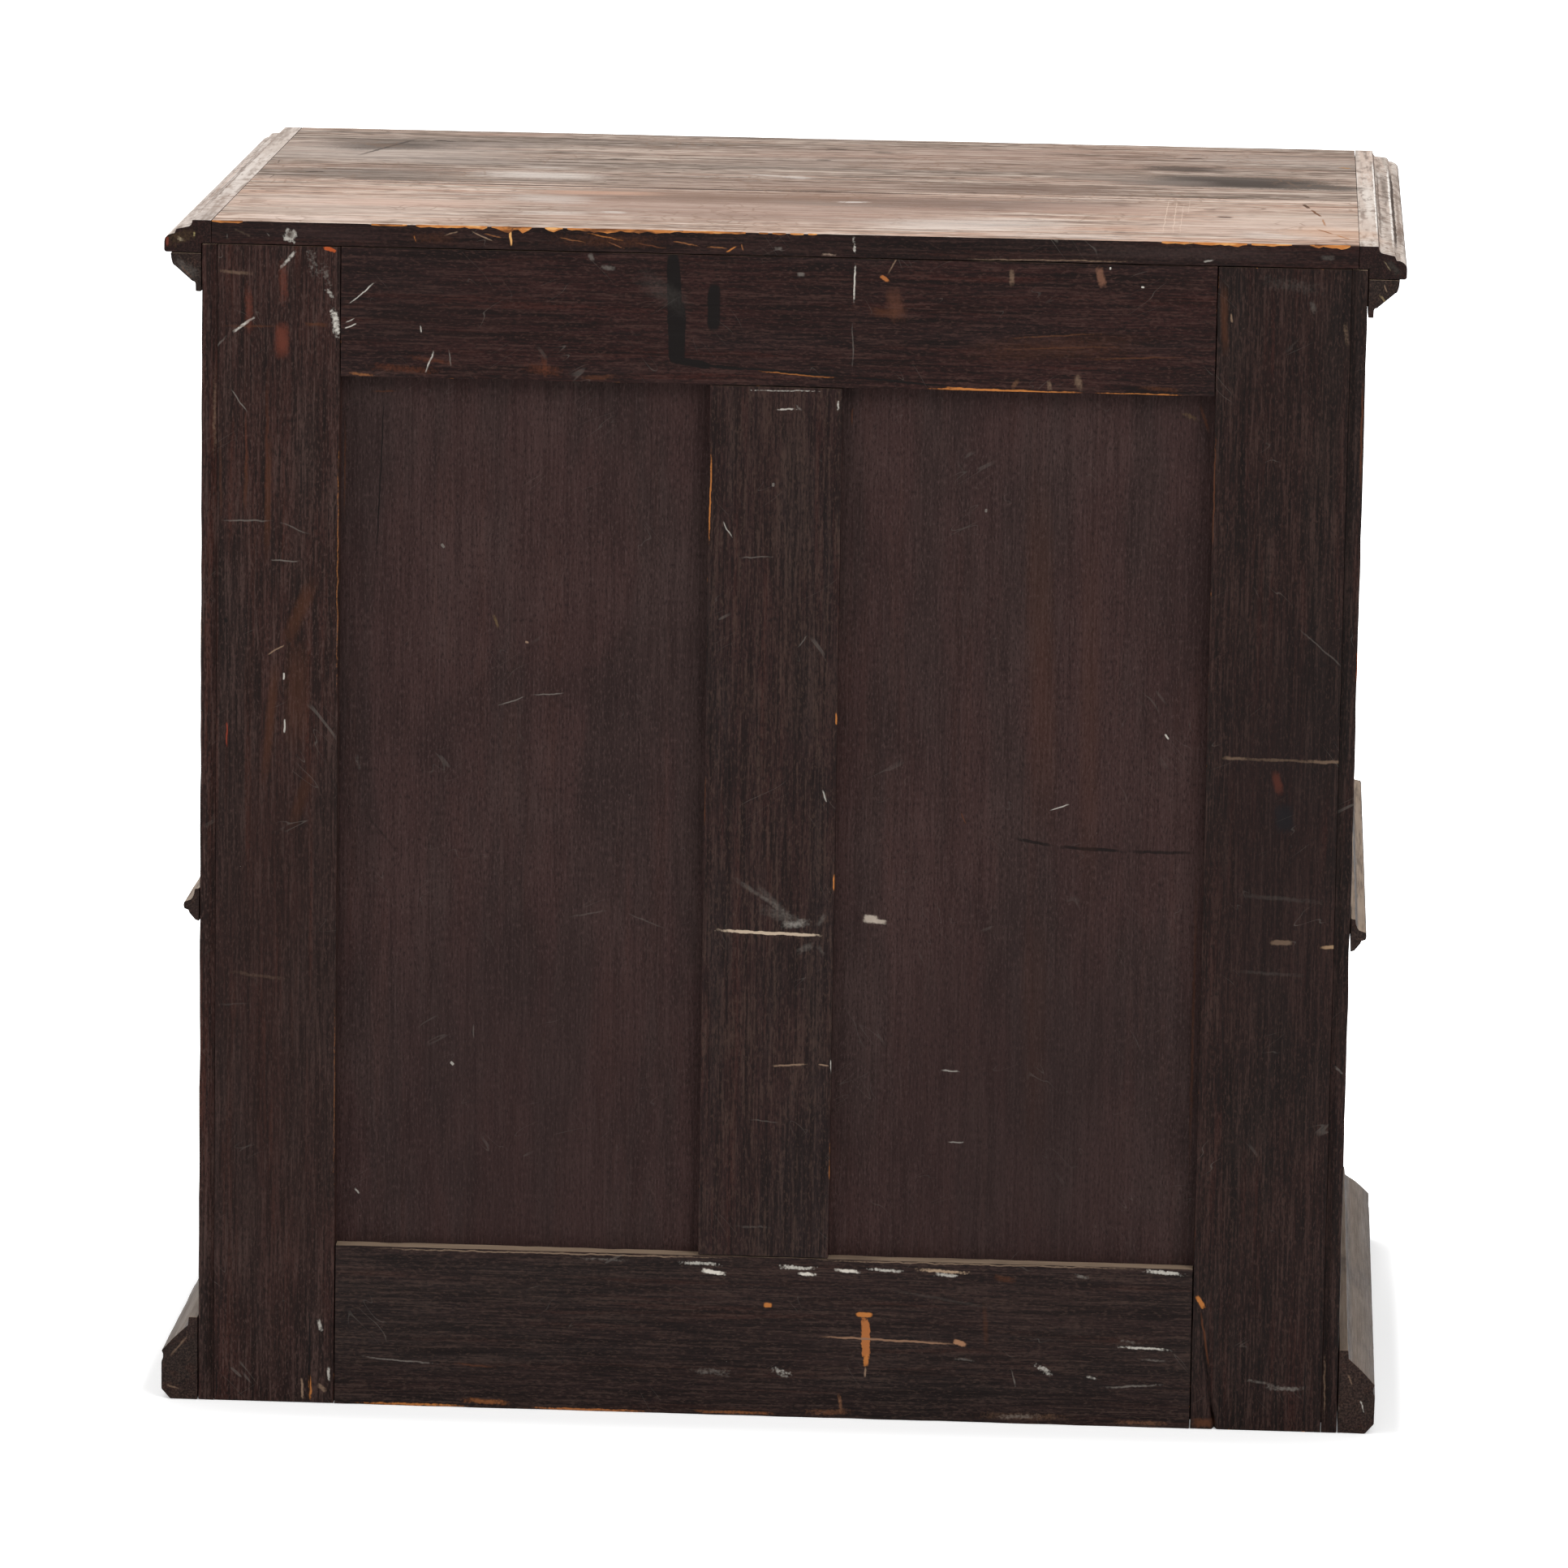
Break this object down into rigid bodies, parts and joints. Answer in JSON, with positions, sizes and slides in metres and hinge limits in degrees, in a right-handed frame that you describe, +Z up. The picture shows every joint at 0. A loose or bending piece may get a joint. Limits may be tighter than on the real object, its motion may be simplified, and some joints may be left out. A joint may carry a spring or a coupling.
{
  "type": "spool cabinet",
  "caption": "Dark stained spool cabinet with panelled back and sides, moulded top, waist and base, and shallow drawers over deeper ones on side runners.",
  "frame": {"origin": "on the floor, at the middle of the footprint's box", "axes": "+Z up, -Y towards the drawers' side, +Y towards the panelled back, +X to the right of someone who faces the drawers"},
  "size_m": [0.78, 0.539, 0.764],
  "materials": {
    "stained_case": "near-black reddish-brown stain and old varnish, worn to bare wood at the edges",
    "faded_top": "faded greyish-pink brown with haze and water stains",
    "panel": "dull dark purplish-brown stain",
    "drawer_lining": "unfinished secondary wood",
    "runner": "unfinished secondary wood, rubbed along the ledges",
    "brass": "aged turned brass"
  },
  "bodies": {
    "case": {"back_bottom_rail": "stained_case", "back_muntin": "stained_case", "back_panel_left": "panel", "back_panel_right": "panel", "back_stile_left": "stained_case", "back_stile_right": "stained_case", "back_top_rail": "stained_case", "base_moulding_front": "stained_case", "base_moulding_left": "stained_case", "base_moulding_right": "stained_case", "cornice_front": "stained_case", "cornice_left": "stained_case", "cornice_right": "stained_case", "front_post_left": "stained_case", "front_post_right": "stained_case", "runner_board_left": "runner", "runner_board_right": "runner", "side_bottom_rail_left": "stained_case", "side_bottom_rail_right": "stained_case", "side_middle_rail_left": "stained_case", "side_middle_rail_right": "stained_case", "side_panel_lower_left": "panel", "side_panel_lower_right": "panel", "side_panel_upper_left": "panel", "side_panel_upper_right": "panel", "side_stile_left": "stained_case", "side_stile_right": "stained_case", "side_top_rail_left": "stained_case", "side_top_rail_right": "stained_case", "top_end_left": "faded_top", "top_end_right": "faded_top", "top_plank_back": "faded_top", "top_plank_front": "faded_top", "waist_moulding_front": "stained_case", "waist_moulding_left": "stained_case", "waist_moulding_right": "stained_case"},
    "drawer_1": {"drawer_1_box": "drawer_lining", "drawer_1_front": "stained_case", "drawer_1_knob_left": "brass", "drawer_1_knob_right": "brass"},
    "drawer_2": {"drawer_2_box": "drawer_lining", "drawer_2_front": "stained_case", "drawer_2_knob_left": "brass", "drawer_2_knob_right": "brass"},
    "drawer_3": {"drawer_3_box": "drawer_lining", "drawer_3_front": "stained_case", "drawer_3_knob_left": "brass", "drawer_3_knob_right": "brass"},
    "drawer_4": {"drawer_4_box": "drawer_lining", "drawer_4_front": "stained_case", "drawer_4_knob_left": "brass", "drawer_4_knob_right": "brass"},
    "drawer_5": {"drawer_5_box": "drawer_lining", "drawer_5_front": "stained_case", "drawer_5_knob_left": "brass", "drawer_5_knob_right": "brass"},
    "drawer_6": {"drawer_6_box": "drawer_lining", "drawer_6_front": "stained_case", "drawer_6_knob_left": "brass", "drawer_6_knob_right": "brass"}
  },
  "joints": [
    {"name": "drawer_1_slide", "type": "slide", "parent": "case", "child": "drawer_1", "axis": [0, -1, 0], "range_m": [0, 0.38]},
    {"name": "drawer_2_slide", "type": "slide", "parent": "case", "child": "drawer_2", "axis": [0, -1, 0], "range_m": [0, 0.38]},
    {"name": "drawer_3_slide", "type": "slide", "parent": "case", "child": "drawer_3", "axis": [0, -1, 0], "range_m": [0, 0.38]},
    {"name": "drawer_4_slide", "type": "slide", "parent": "case", "child": "drawer_4", "axis": [0, -1, 0], "range_m": [0, 0.38]},
    {"name": "drawer_5_slide", "type": "slide", "parent": "case", "child": "drawer_5", "axis": [0, -1, 0], "range_m": [0, 0.38]},
    {"name": "drawer_6_slide", "type": "slide", "parent": "case", "child": "drawer_6", "axis": [0, -1, 0], "range_m": [0, 0.38]}
  ]
}
